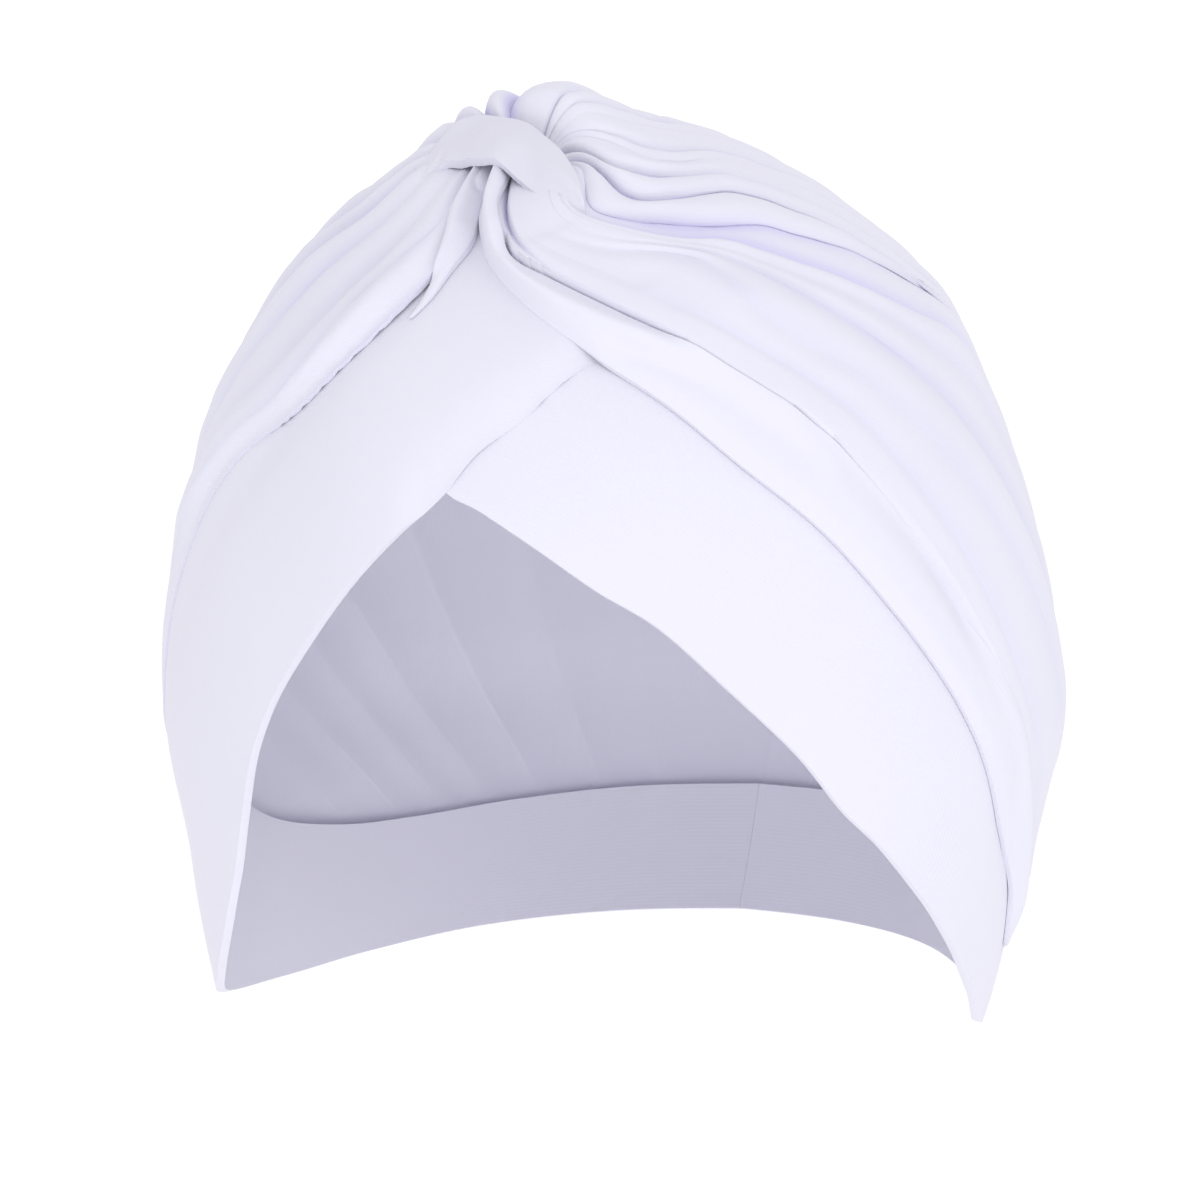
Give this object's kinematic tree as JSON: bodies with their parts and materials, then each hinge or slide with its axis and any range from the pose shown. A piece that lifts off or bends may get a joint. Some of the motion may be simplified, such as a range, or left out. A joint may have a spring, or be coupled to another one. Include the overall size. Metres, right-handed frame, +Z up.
{
  "type": "turban hat",
  "caption": "Pleated stretch-jersey head wrap with crossed front bands and a wound knot at the top front, held in its worn form.",
  "frame": {"origin": "inside of the hat at the top of the wearer's head, where the crown of the head touches the cloth", "axes": "+Z up, -Y the front of the wearer's head, +X the wearer's left"},
  "size_m": [0.1789, 0.1902, 0.1812],
  "materials": {
    "under_band": "matte double-knit jersey, pale lavender white",
    "over_band": "matte double-knit jersey, pale lavender white",
    "front_fold": "matte double-knit jersey, pale lavender white",
    "tuck_fold": "matte double-knit jersey, pale lavender white",
    "crown": "matte pleated jersey, pale lavender white",
    "knot_wrap": "matte jersey stretched over the gathers, pale lavender white"
  },
  "bodies": {
    "root": {"under_band": "under_band", "over_band": "over_band", "front_fold": "front_fold", "tuck_fold": "tuck_fold", "crown": "crown", "knot_wrap": "knot_wrap"}
  },
  "joints": []
}
